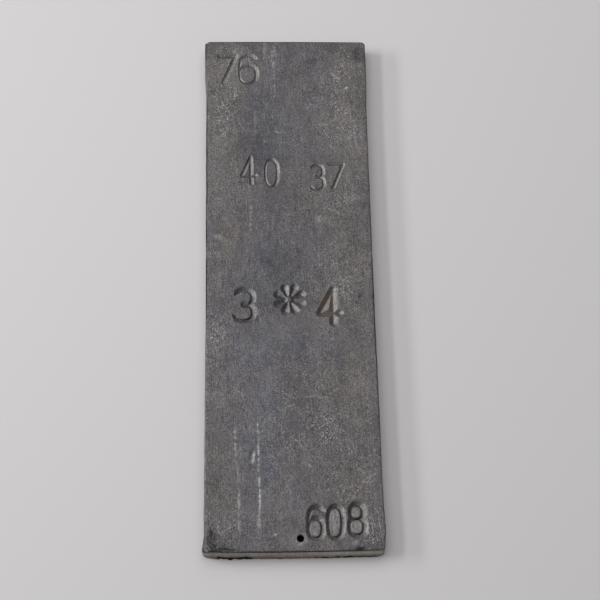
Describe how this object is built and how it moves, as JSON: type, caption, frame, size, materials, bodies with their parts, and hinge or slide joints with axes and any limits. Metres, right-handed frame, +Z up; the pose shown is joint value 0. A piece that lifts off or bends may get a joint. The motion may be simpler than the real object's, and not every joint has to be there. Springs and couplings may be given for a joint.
{
  "type": "lead ingot",
  "caption": "Flat rectangular lead bar cut from rolled plate, with sheared ends, worn edges, punched marks and a small drilled hole; raw metal to stack, weigh or melt down.",
  "frame": {"origin": "middle of the underside, on the surface the bar lies on", "axes": "+X across the bar to the right, +Y along it towards the undercut far end, +Z up through the plate"},
  "size_m": [0.052, 0.1664, 0.0048],
  "materials": {
    "lead": "satin"
  },
  "bodies": {
    "root": {"lead_bar": "lead"}
  },
  "joints": []
}
